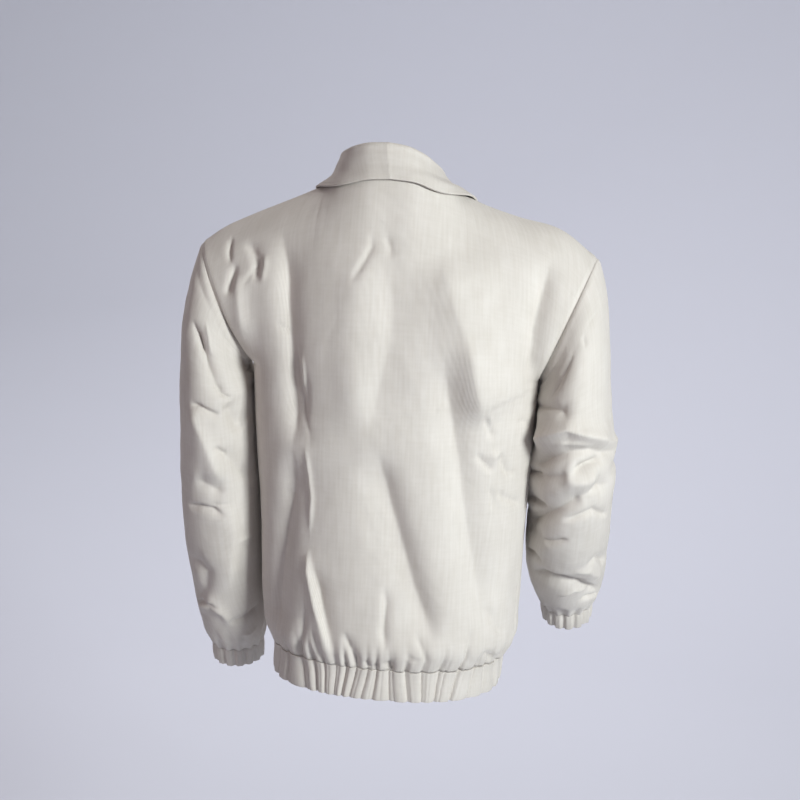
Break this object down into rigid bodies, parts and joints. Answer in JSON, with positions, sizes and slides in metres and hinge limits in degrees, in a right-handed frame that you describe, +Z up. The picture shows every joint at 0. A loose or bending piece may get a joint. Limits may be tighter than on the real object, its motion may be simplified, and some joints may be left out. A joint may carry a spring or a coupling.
{
  "type": "corduroy jacket",
  "caption": "Hip-length corduroy jacket with fold-down collar, closed front zip, set-in sleeves, gathered hem band and gathered cuffs, hollow, in worn form.",
  "frame": {"origin": "centre of the neck base, level with the left side neck point; 643 mm above the lower edge of the hem band", "axes": "+Z up along the wearer's spine, the front faces -Y, the wearer's left is +X"},
  "size_m": [0.5662, 0.3042, 0.7198],
  "materials": {
    "back": "matt corduroy",
    "front_left": "matt corduroy",
    "front_right": "matt corduroy",
    "sleeve_left": "matt corduroy",
    "sleeve_right": "matt corduroy",
    "collar_stand": "matt corduroy",
    "collar_fall": "matt corduroy",
    "hem_band_back": "matt corduroy",
    "hem_band_left": "matt corduroy",
    "hem_band_right": "matt corduroy",
    "cuff_left": "matt corduroy",
    "cuff_right": "matt corduroy",
    "zip_tape_left": "matt woven tape",
    "zip_tape_right": "matt woven tape",
    "zip_slider": "satin metal",
    "zip_pull": "satin metal",
    "zip_box": "satin metal"
  },
  "bodies": {
    "jacket": {"back": "back", "front_left": "front_left", "front_right": "front_right", "sleeve_left": "sleeve_left", "sleeve_right": "sleeve_right", "collar_stand": "collar_stand", "collar_fall": "collar_fall", "hem_band_back": "hem_band_back", "hem_band_left": "hem_band_left", "hem_band_right": "hem_band_right", "cuff_left": "cuff_left", "cuff_right": "cuff_right", "zip_tape_left": "zip_tape_left", "zip_tape_right": "zip_tape_right", "zip_slider": "zip_slider", "zip_box": "zip_box"},
    "pull": {"zip_pull": "zip_pull"}
  },
  "joints": [
    {"name": "pull_hinge", "type": "hinge", "parent": "jacket", "child": "pull", "pos_m": [-0.00046, -0.0978, -0.09699], "axis": [-1, 0, 0], "range_deg": [0, 150]}
  ]
}
